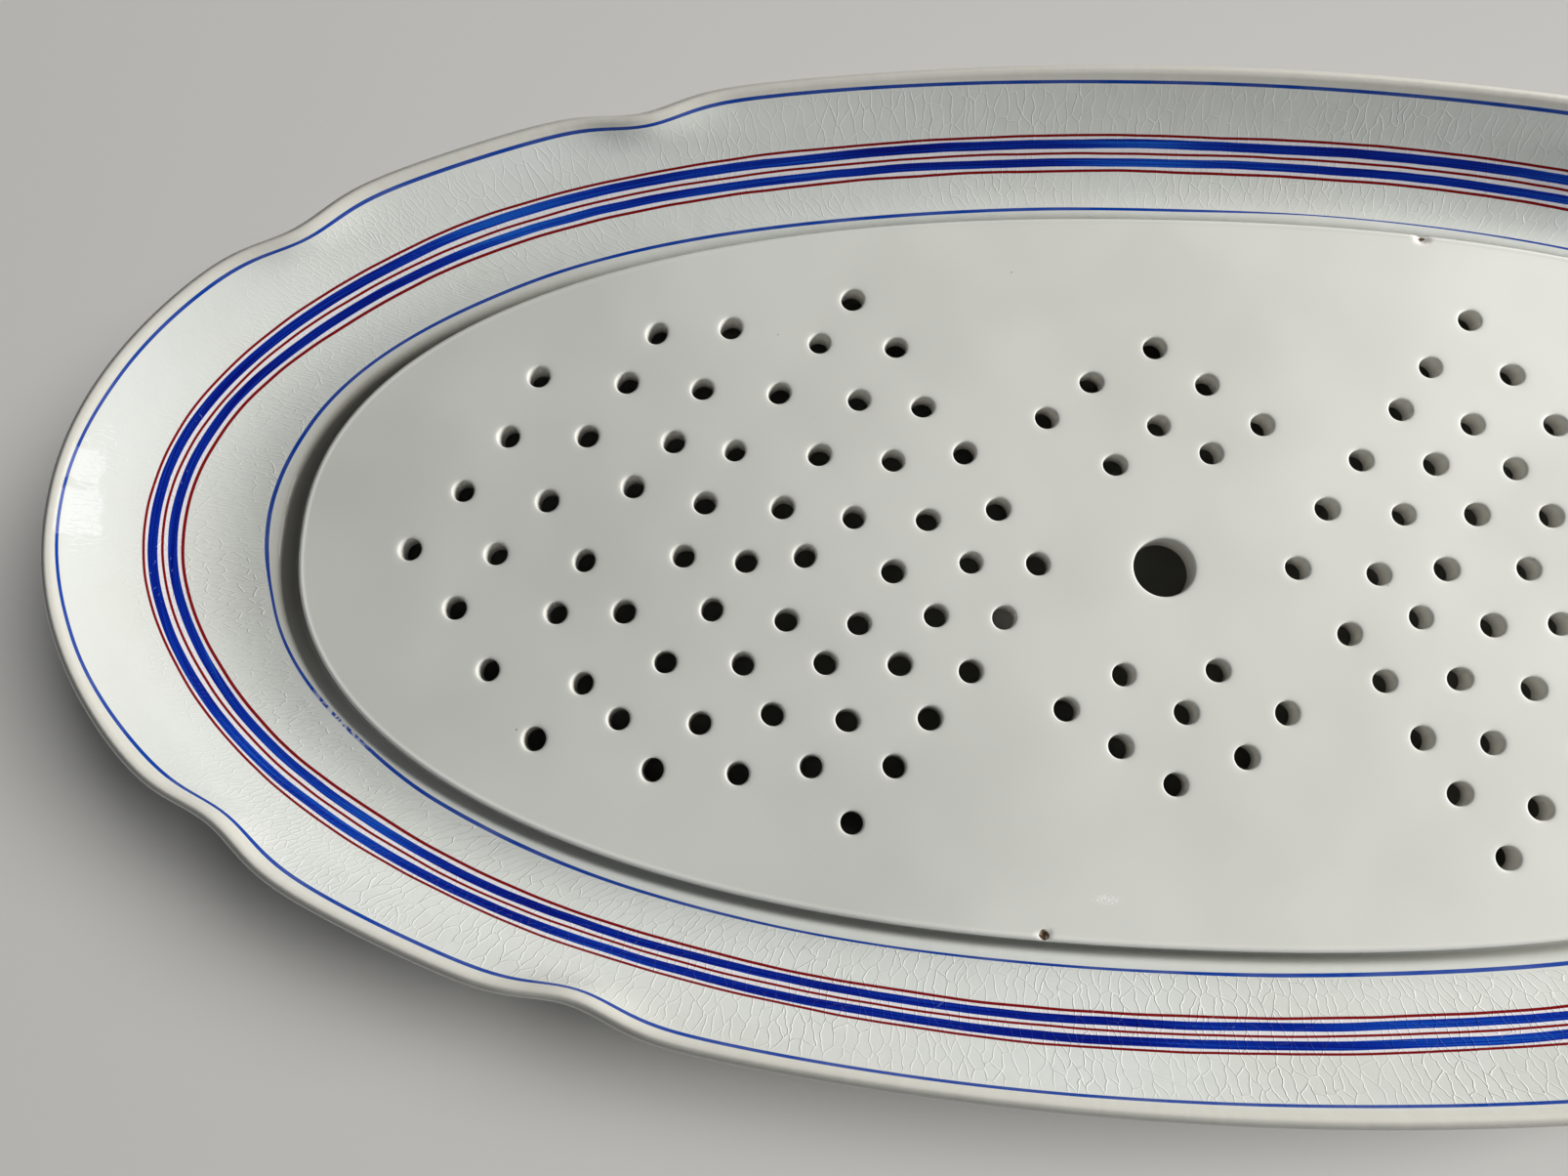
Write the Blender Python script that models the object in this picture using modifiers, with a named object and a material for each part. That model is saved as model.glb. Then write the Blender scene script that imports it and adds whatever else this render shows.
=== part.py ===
import math
import random

import bmesh
import bpy

# Oval fish platter with a loose pierced drainer lying in its well.
# Metres, +Z up, length along X. The platter stands on its foot ring at z = 0.

# Platter, outside sizes over the lip
LENGTH = 0.605
WIDTH = 0.280
HEIGHT = 0.061
WALL = 0.0060
LIP_ROUND = 0.0026
LIP_POWER = 2.09

# Scallops of the lip: where the notches sit around the rim, how deep and how long they are,
# how far the lobes beside them bulge, and where up the wing the scallops begin
NOTCH_ANGLES = (36.0, 61.2)
NOTCH_DEPTH = 0.0038
NOTCH_REACH = 0.0105
LOBE_BULGE = 0.0017
LOBE_REACH = 0.040
NOTCH_FADE = (0.72, 0.98)

# Foot ring, floor and the wall of the well below the seat
FOOT_HEIGHT = 0.0040
FOOT_WIDTH = 0.0060
FOOT_INSET = 0.0075
FOOT_ROUND = 0.0008
FLOOR = 0.0060
FLOOR_ROUND = 0.0080
WELL_DEPTH = 0.0212
WELL_LEAN = 0.0040

# Drainer plate: it tapers downwards, so that it settles between the sloping sides of the well
DRAINER_LENGTH = 0.4850
DRAINER_WIDTH = 0.2062
DRAINER_THICK = 0.0075
DRAINER_EDGE = 0.0010
DRAINER_TAPER = 0.0030
OVAL_POWER = 2.24

# How the drainer lies: a little off centre and turned, as it was laid in by hand
LAY_X = 0.0010
LAY_Y = 0.0008
LAY_TURN = math.radians(0.4)
REST_GAP = 0.0003

# Seat that carries the drainer, and the verge where the well meets the wing. The drainer's top
# stands proud of the verge. The side of the well climbs from the seat to the verge in a rounded
# shoulder, of one width all round: shares of the way across and up.
SEAT_LAP = 0.0075
SEAT_ROUND = 0.0010
SHOULDER_WIDTH = 0.0054
VERGE_END = 0.0083
VERGE_SIDE = 0.0053
DRAINER_PROUD = 0.0022
SHOULDER = ((0.17, 0.28), (0.33, 0.61), (0.46, 0.80), (0.60, 0.915), (0.78, 0.98))
WING_POWER = 1.75
WING_END = 0.72

# Holes of the drainer: two large diamond clusters, two small ones and a finger hole
FINGER_HOLE = 0.0165
SMALL_HOLE = 0.0064
PITCH_X = 0.00962
PITCH_Y = 0.01488
PITCH_SPREAD = 0.0092
CLUSTER_START = 0.03475
CLUSTER_COLUMNS = 17
HOLE_MARGIN = 0.0188
CENTRE_PITCH_X = 0.01488
CENTRE_PITCH_Y = 0.01091
CENTRE_START_Y = 0.02976
CENTRE_ROWS = ((-1, 1), (-2, 0, 2), (-1, 1), (0,))
FINGER_AT = (0.0002, -0.0021)
PATTERN_X = 0.0012
PATTERN_Y = -0.0017
WOBBLE = 0.0020
WOBBLE_SEED = 7

# How far each hole was punched off its place in the pattern, in mm along and across: the left
# cluster, the small ones, and the part of the right cluster that the photograph shows
PUNCHED = (
    (-0.8, -0.6), (-0.3, -1.0), (-2.0, -0.2), (0.6, -0.9), (0.4, -0.8), (-1.6, 0.7), (-0.2, 1.6), (1.0, -0.8),
    (-1.6, -4.2), (-3.5, -1.4), (0.7, 4.2), (1.6, 1.0), (-0.7, -4.0), (-1.5, -2.7), (-1.4, 0.7), (0.2, 5.0),
    (-1.7, 1.0), (0.7, -3.5), (-1.7, -4.4), (-1.1, -0.6), (-3.8, -0.8), (-0.6, 4.4), (2.4, 1.1), (-4.4, -0.4),
    (-1.3, -2.1), (-2.4, 0.4), (-0.7, 2.7), (2.0, -2.9), (-0.4, -2.4), (-2.7, 0.0), (1.6, 2.9), (1.5, 0.7),
    (1.0, -2.5), (-3.8, -2.1), (-6.7, 3.4), (1.7, 0.4), (3.3, -0.4), (-0.3, -2.0), (-2.9, -0.2), (0.9, 4.0),
    (2.6, 0.9), (5.7, -1.5), (1.0, -0.5), (-5.9, 0.1), (2.3, 1.6), (1.7, -1.5), (1.7, 1.9), (-2.1, 0.4),
    (3.2, -5.2), (1.2, -3.7), (-0.8, -0.1), (3.1, -3.9), (6.2, -2.2), (1.1, -3.3), (-4.5, 0.8), (0.7, -1.9),
    (-0.2, -2.5), (0.2, -1.4), (1.9, -1.5), (0.9, -1.4), (-0.3, -2.0),
    (2.3, -0.9), (-2.3, 1.2), (1.6, 0.1), (3.8, 0.4), (0.7, 1.2), (1.1, 1.6), (4.4, 0.0), (0.4, 3.0),
    (1.0, -1.1), (-1.9, 3.1), (-3.1, 1.4), (-1.5, 0.0), (-2.3, 1.1), (-5.2, 1.6), (-2.5, 1.8), (-2.0, 1.6),
    (0.4, 0.5), (3.6, -2.4), (-0.4, 2.6), (2.2, 0.4), (2.6, -0.5), (-0.2, 1.7), (1.0, 1.1), (2.9, 3.1),
    (0.3, 1.4), (1.6, 1.4), (-0.7, 2.7), (1.7, 2.2), (0.5, 1.5), (-0.2, 0.6), (0.5, -1.5), (-0.1, 2.8),
    (-1.6, 1.3), (1.2, 1.9), (-0.6, 1.7), (0.4, -3.2), (2.1, -3.0), (-1.3, 0.9), (-0.2, 0.9), (1.4, 2.3),
    (0.3, -0.6), (1.9, -4.3), (0.6, 0.8), (-2.4, 3.1), (-1.9, 1.6), (1.8, -3.7),
)

# Fineness of the mesh
QUARTER_STEPS = 28
NOTCH_CROWDING = 1.6
NOTCH_SPREAD = 0.09
EDGE_STEPS = 96
SMALL_SIDES = 8
FINGER_SIDES = 20
SMOOTH_ANGLE = math.radians(35)

lipA = LENGTH / 2
lipB = WIDTH / 2
crestA = lipA - LIP_ROUND
crestB = lipB - LIP_ROUND
drainA = DRAINER_LENGTH / 2
drainB = DRAINER_WIDTH / 2
floorZ = FOOT_HEIGHT + FLOOR
seatZ = floorZ + WELL_DEPTH
drainZ = seatZ + REST_GAP
vergeZ = drainZ + DRAINER_THICK - DRAINER_PROUD
vergeA = drainA + VERGE_END
vergeB = drainB + VERGE_SIDE


def clear_scene():
    for item in list(bpy.data.objects):
        bpy.data.objects.remove(item, do_unlink=True)


def mix(low, high, t):
    return low + (high - low) * t


def smooth(low, high, value):
    t = min(max((value - low) / (high - low), 0.0), 1.0)
    return t * t * (3 - 2 * t)


def oval(a, b, power, angle):
    # Point of a superellipse with half axes a and b.
    c = math.cos(angle)
    s = math.sin(angle)
    x = math.copysign(abs(c) ** (2 / power), c) * a
    y = math.copysign(abs(s) ** (2 / power), s) * b
    return x, y


def ring_angles():
    # Close steps at the notches and wider ones along the plain lobes, the same in each quarter.
    fine = 900
    step = math.pi / 2 / fine
    marks = [math.radians(degrees) for degrees in NOTCH_ANGLES]
    total = [0.0]
    for i in range(fine):
        near = sum(math.exp(-(((i + 0.5) * step - mark) / NOTCH_SPREAD) ** 2) for mark in marks)
        total.append(total[-1] + 1 + NOTCH_CROWDING * near)
    quarter = []
    j = 0
    for k in range(QUARTER_STEPS):
        target = total[-1] * k / QUARTER_STEPS
        while total[j + 1] < target:
            j += 1
        quarter.append((j + (target - total[j]) / (total[j + 1] - total[j])) * step)
    half = quarter + [math.pi / 2] + [math.pi - angle for angle in reversed(quarter[1:])]
    return half + [math.pi + angle for angle in half]


def notch(x, y):
    # How far a point of the lip is pressed inwards: short notches in lobes that bulge a little.
    dip = 0.0
    for degrees in NOTCH_ANGLES:
        nx, ny = oval(lipA, lipB, LIP_POWER, math.radians(degrees))
        away = math.hypot(abs(x) - nx, abs(y) - ny)
        dip += NOTCH_DEPTH * math.exp(-(away / NOTCH_REACH) ** 2 / 2)
        dip -= LOBE_BULGE * math.exp(-(away / LOBE_REACH) ** 2 / 2)
    return dip


def make_ring(mesh, angles, a, b, z, power=OVAL_POWER, lobe=0.0):
    # One loop of vertices; lobe is the share of the lip's scallops that it takes on.
    verts = []
    for angle in angles:
        x, y = oval(a, b, power, angle)
        dip = lobe * notch(*oval(lipA, lipB, LIP_POWER, angle))
        slope = math.hypot(x / a ** 2, y / b ** 2)
        x -= dip * x / a ** 2 / slope
        y -= dip * y / b ** 2 / slope
        verts.append(mesh.verts.new((x, y, z)))
    return verts


def wing_top(t):
    # The upper face of the wing, from the verge at t = 0 to the crest of the lip at t = 1.
    # It steepens towards the lip, and lies flatter at the ends of the platter than along its sides.
    power = mix(OVAL_POWER, LIP_POWER, smooth(0, NOTCH_FADE[1], t))
    z = mix(vergeZ, HEIGHT, t ** WING_POWER)
    return mix(vergeA, crestA, t ** WING_END), mix(vergeB, crestB, t), z, power, smooth(*NOTCH_FADE, t)


def wing_under(t):
    # The same place on the underside, one wall thickness away along the slope's normal.
    a, b, z, power, lobe = wing_top(t)
    rise = (HEIGHT - vergeZ) * WING_POWER * t ** (WING_POWER - 1)
    slopeA = math.atan2(rise, (crestA - vergeA) * WING_END * t ** (WING_END - 1))
    slopeB = math.atan2(rise, crestB - vergeB)
    drop = WALL * math.cos((slopeA + slopeB) / 2)
    return a + WALL * math.sin(slopeA), b + WALL * math.sin(slopeB), z - drop, power, lobe


def bend(start, middle, end, t):
    # Point of a curve that leaves start towards middle and arrives at end.
    return tuple(mix(mix(p, q, t), mix(q, r, t), t) for p, q, r in zip(start, middle, end))


def platter_rings():
    innerA = drainA - SEAT_LAP
    innerB = drainB - SEAT_LAP
    outerA = vergeA - SHOULDER_WIDTH
    outerB = vergeB - SHOULDER_WIDTH
    footA = innerA - FOOT_INSET
    footB = innerB - FOOT_INSET
    rings = []
    for turn in (0, 30, 60, 90):
        into = WELL_LEAN + FLOOR_ROUND * (1 - math.sin(math.radians(turn)))
        z = floorZ + FLOOR_ROUND * (1 - math.cos(math.radians(turn)))
        rings.append((innerA - into, innerB - into, z))
    rings.append((innerA - SEAT_ROUND / 2, innerB - SEAT_ROUND / 2, seatZ - SEAT_ROUND))
    rings.append((innerA + SEAT_ROUND / 2, innerB + SEAT_ROUND / 2, seatZ))
    rings.append((outerA, outerB, seatZ))
    for across, up in SHOULDER:
        rings.append((mix(outerA, vergeA, across), mix(outerB, vergeB, across), mix(seatZ, vergeZ, up)))
    rings += [wing_top(t) for t in (0.0, 0.14, 0.34, 0.54, 0.70, 0.82, 0.92, 1.0)]
    for turn in (50, 90, 140):
        out = LIP_ROUND * math.sin(math.radians(turn))
        z = HEIGHT - LIP_ROUND * (1 - math.cos(math.radians(turn)))
        rings.append((crestA + out, crestB + out, z, LIP_POWER, 1.0))
    rings += [wing_under(t) for t in (0.82, 0.62, 0.38, 0.12)]
    start = wing_under(0.12)[:3]
    tuck = (outerA, outerB, floorZ)
    end = (footA + FOOT_ROUND, footB + FOOT_ROUND, FOOT_HEIGHT)
    rings += [bend(start, tuck, end, t) for t in (0.25, 0.50, 0.75, 1.0)]
    rings.append((footA, footB, FOOT_ROUND))
    rings += [(footA - into, footB - into, 0) for into in (FOOT_ROUND, FOOT_WIDTH - FOOT_ROUND)]
    rings += [(footA - FOOT_WIDTH, footB - FOOT_WIDTH, z) for z in (FOOT_ROUND, FOOT_HEIGHT)]
    return rings


def build_platter():
    mesh = bmesh.new()
    angles = ring_angles()
    loops = [make_ring(mesh, angles, *ring) for ring in platter_rings()]
    mesh.faces.new(loops[0])
    for inner, outer in zip(loops, loops[1:]):
        for i in range(len(angles)):
            mesh.faces.new((inner[i - 1], outer[i - 1], outer[i], inner[i]))
    mesh.faces.new(list(reversed(loops[-1])))
    bmesh.ops.recalc_face_normals(mesh, faces=mesh.faces)
    data = bpy.data.meshes.new("platter")
    mesh.to_mesh(data)
    mesh.free()
    return data


def drainer_side(x):
    # Half width of the drainer at a place along its length.
    t = min(abs(x) / drainA, 1.0)
    return drainB * (1 - t ** OVAL_POWER) ** (1 / OVAL_POWER)


def cluster_places(side):
    # A staggered diamond that spreads towards the end, cut off where the margin to the edge begins.
    for column in range(CLUSTER_COLUMNS):
        spread = 1 + PITCH_SPREAD * column
        x = CLUSTER_START + PITCH_X * column * spread
        steps = min(column, CLUSTER_COLUMNS - 1 - column)
        for row in range(-steps, steps + 1, 2):
            y = row * PITCH_Y * spread
            if abs(y) <= drainer_side(x) - HOLE_MARGIN:
                yield side * x, y


def centre_places():
    # The two small diamonds beside the finger hole.
    for side in (-1, 1):
        for row, places in enumerate(CENTRE_ROWS):
            for place in places:
                yield place * CENTRE_PITCH_X, side * (CENTRE_START_Y + row * CENTRE_PITCH_Y)


def hole_centres():
    # Each hole was punched by hand, so it sits a little off its place; the hidden ones sit off by chance.
    hand = random.Random(WOBBLE_SEED)
    places = [*cluster_places(-1), *centre_places(), *cluster_places(1)]
    centres = []
    for i, (x, y) in enumerate(places):
        dx, dy = hand.uniform(-WOBBLE, WOBBLE), hand.uniform(-WOBBLE, WOBBLE)
        if i < len(PUNCHED):
            dx, dy = PUNCHED[i][0] / 1000, PUNCHED[i][1] / 1000
        centres.append((x + PATTERN_X + dx, y + PATTERN_Y + dy))
    return centres


def add_loop(curve, points):
    spline = curve.splines.new("POLY")
    spline.points.add(len(points) - 1)
    for point, (x, y) in zip(spline.points, points):
        point.co = (x, y, 0, 1)
    spline.use_cyclic_u = True


def circle(cx, cy, diameter, sides):
    angles = [2 * math.pi * (i + 0.5) / sides for i in range(sides)]
    return [(cx + diameter / 2 * math.cos(angle), cy + diameter / 2 * math.sin(angle)) for angle in angles]


def taper_edge(mesh):
    # The two long edges of the outline are the ones that get rounded; the lower one is drawn in.
    weight = mesh.edges.layers.float.new("bevel_weight_edge")
    outline = [v for v in mesh.verts if abs(v.co.x / drainA) ** OVAL_POWER + abs(v.co.y / drainB) ** OVAL_POWER > 0.999]
    found = set(outline)
    for edge in mesh.edges:
        if found.issuperset(edge.verts) and abs(edge.verts[0].co.z - edge.verts[1].co.z) < DRAINER_THICK / 2:
            edge[weight] = 1.0
    for vert in outline:
        if vert.co.z < 0:
            vert.co.x *= 1 - DRAINER_TAPER / drainA
            vert.co.y *= 1 - DRAINER_TAPER / drainB


def build_drainer():
    curve = bpy.data.curves.new("drainer_outline", "CURVE")
    curve.dimensions = "2D"
    curve.fill_mode = "BOTH"
    curve.extrude = DRAINER_THICK / 2
    angles = [2 * math.pi * i / EDGE_STEPS for i in range(EDGE_STEPS)]
    add_loop(curve, [oval(drainA, drainB, OVAL_POWER, angle) for angle in angles])
    add_loop(curve, circle(*FINGER_AT, FINGER_HOLE, FINGER_SIDES))
    for x, y in hole_centres():
        add_loop(curve, circle(x, y, SMALL_HOLE, SMALL_SIDES))
    outline = bpy.data.objects.new("drainer_outline", curve)
    bpy.context.scene.collection.objects.link(outline)
    graph = bpy.context.evaluated_depsgraph_get()
    data = bpy.data.meshes.new_from_object(outline.evaluated_get(graph))
    bpy.data.objects.remove(outline, do_unlink=True)
    mesh = bmesh.new()
    mesh.from_mesh(data)
    bmesh.ops.remove_doubles(mesh, verts=mesh.verts, dist=0.00002)
    taper_edge(mesh)
    bmesh.ops.recalc_face_normals(mesh, faces=mesh.faces)
    mesh.to_mesh(data)
    mesh.free()
    return data


def glaze(name, colour):
    material = bpy.data.materials.new(name)
    material.use_nodes = True
    shader = material.node_tree.nodes["Principled BSDF"]
    shader.inputs["Base Color"].default_value = colour
    shader.inputs["Roughness"].default_value = 0.15
    shader.inputs["Metallic"].default_value = 0.0
    return material


def add_part(collection, name, data, material):
    data.name = name
    data.materials.clear()
    data.materials.append(material)
    data.shade_smooth()
    data.set_sharp_from_angle(angle=SMOOTH_ANGLE)
    part = bpy.data.objects.new(name, data)
    collection.objects.link(part)
    return part


clear_scene()
parts = bpy.data.collections.new("fish_platter")
bpy.context.scene.collection.children.link(parts)

add_part(parts, "platter", build_platter(), glaze("cream_glaze", (0.80, 0.79, 0.73, 1)))

drainer = add_part(parts, "drainer", build_drainer(), glaze("grey_white_glaze", (0.78, 0.77, 0.73, 1)))
drainer.location = (LAY_X, LAY_Y, drainZ + DRAINER_THICK / 2)
drainer.rotation_euler.z = LAY_TURN
rounding = drainer.modifiers.new("edge_round", "BEVEL")
rounding.limit_method = "WEIGHT"
rounding.width = DRAINER_EDGE
rounding.segments = 2
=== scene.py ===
import math
import random
from functools import partial

import bpy
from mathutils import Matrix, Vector


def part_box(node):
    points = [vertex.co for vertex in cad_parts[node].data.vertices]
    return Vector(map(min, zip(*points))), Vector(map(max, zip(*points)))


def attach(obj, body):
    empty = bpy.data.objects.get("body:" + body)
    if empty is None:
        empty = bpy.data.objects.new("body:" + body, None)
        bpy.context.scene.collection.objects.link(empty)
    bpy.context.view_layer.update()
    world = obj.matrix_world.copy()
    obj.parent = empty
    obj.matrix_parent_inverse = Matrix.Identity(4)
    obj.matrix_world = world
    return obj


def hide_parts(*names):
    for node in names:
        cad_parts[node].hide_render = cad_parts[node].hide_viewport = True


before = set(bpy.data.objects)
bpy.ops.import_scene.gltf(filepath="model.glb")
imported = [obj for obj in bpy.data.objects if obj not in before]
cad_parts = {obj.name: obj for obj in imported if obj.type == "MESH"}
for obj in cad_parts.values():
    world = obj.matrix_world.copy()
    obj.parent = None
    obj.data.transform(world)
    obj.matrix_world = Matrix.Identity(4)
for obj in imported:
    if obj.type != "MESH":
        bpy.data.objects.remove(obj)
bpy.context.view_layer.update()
print("stage: frame loaded")


def mix(low, high, t):
    return low + (high - low) * t


def smooth(low, high, value):
    t = min(max((value - low) / (high - low), 0.0), 1.0)
    return t * t * (3 - 2 * t)


def sineCosine(degrees):
    return math.sin(math.radians(degrees)), math.cos(math.radians(degrees))


def oval(a, b, power, angle):
    c, s = math.cos(angle), math.sin(angle)
    return math.copysign(abs(c) ** (2 / power), c) * a, math.copysign(abs(s) ** (2 / power), s) * b


def tint(hexColour):
    # sRGB hex to the linear values that sockets take
    parts = [int(hexColour[i:i + 2], 16) / 255 for i in (1, 3, 5)]
    return (*(p / 12.92 if p <= 0.04045 else ((p + 0.055) / 1.055) ** 2.4 for p in parts), 1.0)


def tintsOf(look):
    return {name: tint(value) for name, value in look.items() if isinstance(value, str)}


def feed(node, inputs):
    # each input takes a socket to link, a list of them, or a plain value
    for name, value in inputs.items():
        for one in value if isinstance(value, list) else [value]:
            if isinstance(one, bpy.types.NodeSocket):
                node.id_data.links.new(one, node.inputs[name])
            else:
                node.inputs[name].default_value = one


def addNode(tree, kind, inputs=None, out=0, **settings):
    # one node with its settings and links; gives back one of its outputs
    node = tree.nodes.new(kind)
    for name, value in settings.items():
        setattr(node, name, value)
    feed(node, inputs or {})
    return node.outputs[out] if len(node.outputs) else node


def newTree(name, sockets):
    # a Geometry Nodes tree, what adds a node to it, and its named inputs
    tree = bpy.data.node_groups.new(name, "GeometryNodeTree")
    for label, kind in sockets.items():
        tree.interface.new_socket(label, in_out="INPUT", socket_type="NodeSocket" + kind)
    tree.interface.new_socket("Mesh", in_out="OUTPUT", socket_type="NodeSocketGeometry")
    return tree, partial(addNode, tree), tree.nodes.new("NodeGroupInput").outputs


def makeMaterial(name):
    # a material, what adds a node to it, and its shader
    material = bpy.data.materials.new(name)
    material.use_nodes = True
    tree = material.node_tree
    return material, partial(addNode, tree), tree.nodes["Principled BSDF"]


def pointObject(name, points, **fields):
    # bare points that carry numbers for a tree to read
    mesh = bpy.data.meshes.new(name)
    mesh.from_pydata(points, [], [])
    for field, values in fields.items():
        kind = "FLOAT_VECTOR" if isinstance(values[0], tuple) else "FLOAT"
        layer = mesh.attributes.new(field, kind, "POINT")
        if kind == "FLOAT":
            layer.data.foreach_set("value", values)
        else:
            layer.data.foreach_set("vector", [v for row in values for v in row])
    made = bpy.data.objects.new(name, mesh)
    bpy.context.scene.collection.objects.link(made)
    return made


def bakeTree(name, host, tree, values, helpers=()):
    # runs the tree once on the host and keeps the result as a plain mesh
    modifier = host.modifiers.new(name, "NODES")
    modifier.node_group = tree
    for item in tree.interface.items_tree:
        if item.in_out == "INPUT" and item.name in values:
            modifier[item.identifier] = values[item.name]
    graph = bpy.context.evaluated_depsgraph_get()
    mesh = bpy.data.meshes.new_from_object(
        host.evaluated_get(graph), preserve_all_data_layers=True, depsgraph=graph)
    mesh.name = name
    for spare in (host, *helpers):
        bpy.data.objects.remove(spare, do_unlink=True)
    piece = bpy.data.objects.new(name, mesh)
    bpy.context.scene.collection.objects.link(piece)
    mesh.calc_loop_triangles()
    print("stage:", name, len(mesh.loop_triangles), "triangles")
    return piece


# Loft: one ring per profile point (end reach, side reach, height) and one column per rim point.
profileFields = ("power", "lobe", "across")
rimFields = ("angle", "dip", "along", "stretch", "stripeAt", "innerAt", "outerAt")
paintFields = {"stripe": "stripeAt", "innerLine": "innerAt", "outerLine": "outerAt"}    # distances from the lines
loftTree, add, given = newTree("ringLoft", {"Profile": "Geometry", "Rim": "Geometry"})
rowCount = add("GeometryNodeAttributeDomainSize", {"Geometry": given["Profile"]})
columnCount = add("GeometryNodeAttributeDomainSize", {"Geometry": given["Rim"]})
sheet = add("GeometryNodeMeshGrid", {
    "Size X": 1.0, "Size Y": 1.0, "Vertices X": columnCount, "Vertices Y": rowCount})
index = add("GeometryNodeInputIndex")
column = add("FunctionNodeIntegerMath", {0: index, 1: rowCount}, operation="DIVIDE_FLOOR")
row = add("FunctionNodeIntegerMath", {0: index, 1: rowCount}, operation="MODULO")
held = {}
for names, source, at in ((profileFields, "Profile", row), (rimFields, "Rim", column)):
    for field in names:
        value = add("GeometryNodeInputNamedAttribute", {"Name": field}, data_type="FLOAT")
        held[field] = add("GeometryNodeSampleIndex", {0: given[source], 1: value, 2: at},
                          data_type="FLOAT", domain="POINT")
spot = add("GeometryNodeInputPosition")
ring = add("GeometryNodeSampleIndex", {0: given["Profile"], 1: spot, 2: row},
           data_type="FLOAT_VECTOR", domain="POINT")
reach = add("ShaderNodeVectorMath", {0: ring, 1: (1, 1, 0)}, operation="MULTIPLY")
level = add("ShaderNodeVectorMath", {0: ring, 1: (0, 0, 1)}, operation="MULTIPLY")
exponent = add("ShaderNodeMath", {0: 2.0, 1: held["power"]}, operation="DIVIDE")
sides = []
for turn in ("COSINE", "SINE"):
    wave = add("ShaderNodeMath", {0: held["angle"]}, operation=turn)
    size = add("ShaderNodeMath", {0: wave}, operation="ABSOLUTE")
    size = add("ShaderNodeMath", {0: size, 1: exponent}, operation="POWER")
    sign = add("ShaderNodeMath", {0: wave}, operation="SIGN")
    sides.append(add("ShaderNodeMath", {0: size, 1: sign}, operation="MULTIPLY"))
unit = add("ShaderNodeCombineXYZ", {0: sides[0], 1: sides[1]})
flat = add("ShaderNodeVectorMath", {0: unit, 1: reach}, operation="MULTIPLY")
outward = add("ShaderNodeVectorMath", {0: unit, 1: reach}, operation="DIVIDE")
outward = add("ShaderNodeVectorMath", {0: outward}, operation="NORMALIZE")
push = add("ShaderNodeMath", {0: held["dip"], 1: held["lobe"]}, operation="MULTIPLY")
pushed = add("ShaderNodeVectorMath", {0: outward, "Scale": push}, operation="SCALE")
flat = add("ShaderNodeVectorMath", {0: flat, 1: pushed}, operation="SUBTRACT")
position = add("ShaderNodeVectorMath", {0: flat, 1: level}, operation="ADD")
stored = {"along": held["along"], "across": held["across"]}
for field, at in paintFields.items():
    away = add("ShaderNodeMath", {0: held[at], 1: held["across"]}, operation="SUBTRACT")
    stored[field] = add("ShaderNodeMath", {0: away, 1: held["stretch"]}, operation="MULTIPLY")
for field, value in stored.items():
    sheet = add("GeometryNodeStoreNamedAttribute", {"Geometry": sheet, "Name": field, "Value": value},
                data_type="FLOAT", domain="POINT")
chart = add("ShaderNodeCombineXYZ", {
    i: add("GeometryNodeInputNamedAttribute", {"Name": field}, data_type="FLOAT")
    for i, field in enumerate(("along", "across"))})
sheet = add("GeometryNodeStoreNamedAttribute", {"Geometry": sheet, "Name": "UVMap", "Value": chart},
            data_type="FLOAT2", domain="CORNER")
sheet = add("GeometryNodeSetPosition", {"Geometry": sheet, "Position": position})
sheet = add("GeometryNodeMergeByDistance", {"Geometry": sheet, "Distance": 0.000005})
add("NodeGroupOutput", {0: sheet})

platterForm = {
    "lip": (0.3025, 0.1400, 0.0610),         # end reach, side reach, height
    "lipRound": 0.0026,         # radius of the rolled lip
    "lipPower": 2.09,           # squareness of the lip's oval, 2 is an ellipse
    "ovalPower": 2.24,          # squareness of the well's oval
    "wall": 0.0060,
    "wingPower": 1.75,          # how the wing steepens towards the lip
    "wingEnd": 0.72,            # below 1 the wing lies flatter at the ends than along the sides
    "wingUnder": (0.12, 0.82),  # from where to where up the wing its underside follows it
    "notchAngles": (36.0, 61.2),
    "notchDepth": 0.0038,
    "notchReach": 0.0105,
    "lobeBulge": 0.0017,        # how far the lip swells beside the notches
    "lobeReach": 0.040,
    "notchFade": (0.72, 0.98),  # where up the wing the scallops begin and are full
    "verge": (0.2508, 0.1084, 0.0368),       # inner edge of the wing: end reach, side reach, height
    "seatOuter": (0.2454, 0.1030, 0.0312),
    "seatInner": (0.2350, 0.0956, 0.0312),
    "shoulder": (0.345, 1.6),   # how the side of the well climbs from the seat and rounds over to the verge
    "floorLevel": 0.0100,
    "floorRound": 0.0080,
    "wellLean": 0.0040,
    "footHeight": 0.0040,
    "footWidth": 0.0060,
    "footInset": 0.0075,
    "footRound": 0.0008,
    "columns": 600,
    "wingRows": 36,
    "underRows": 14,
    "tuckRows": 10,             # from the foot ring up to the wing
    "shoulderRows": 19,
    "waveHeight": 0.00022,      # unevenness of the hand-pressed wing, up or down
    "waveScale": 9.0,
    "waveFade": 0.006,          # height above the verge where it is full
}
lipA, lipB, lipZ = platterForm["lip"]
crestA, crestB = lipA - platterForm["lipRound"], lipB - platterForm["lipRound"]
vergeA, vergeB, vergeZ = platterForm["verge"]


def wingTop(t):
    form = platterForm
    power = mix(form["ovalPower"], form["lipPower"], smooth(0, form["notchFade"][1], t))
    a, b = mix(vergeA, crestA, max(t, 0) ** form["wingEnd"]), mix(vergeB, crestB, t)
    return a, b, mix(vergeZ, lipZ, max(t, 0) ** form["wingPower"]), power, smooth(*form["notchFade"], t)


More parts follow.
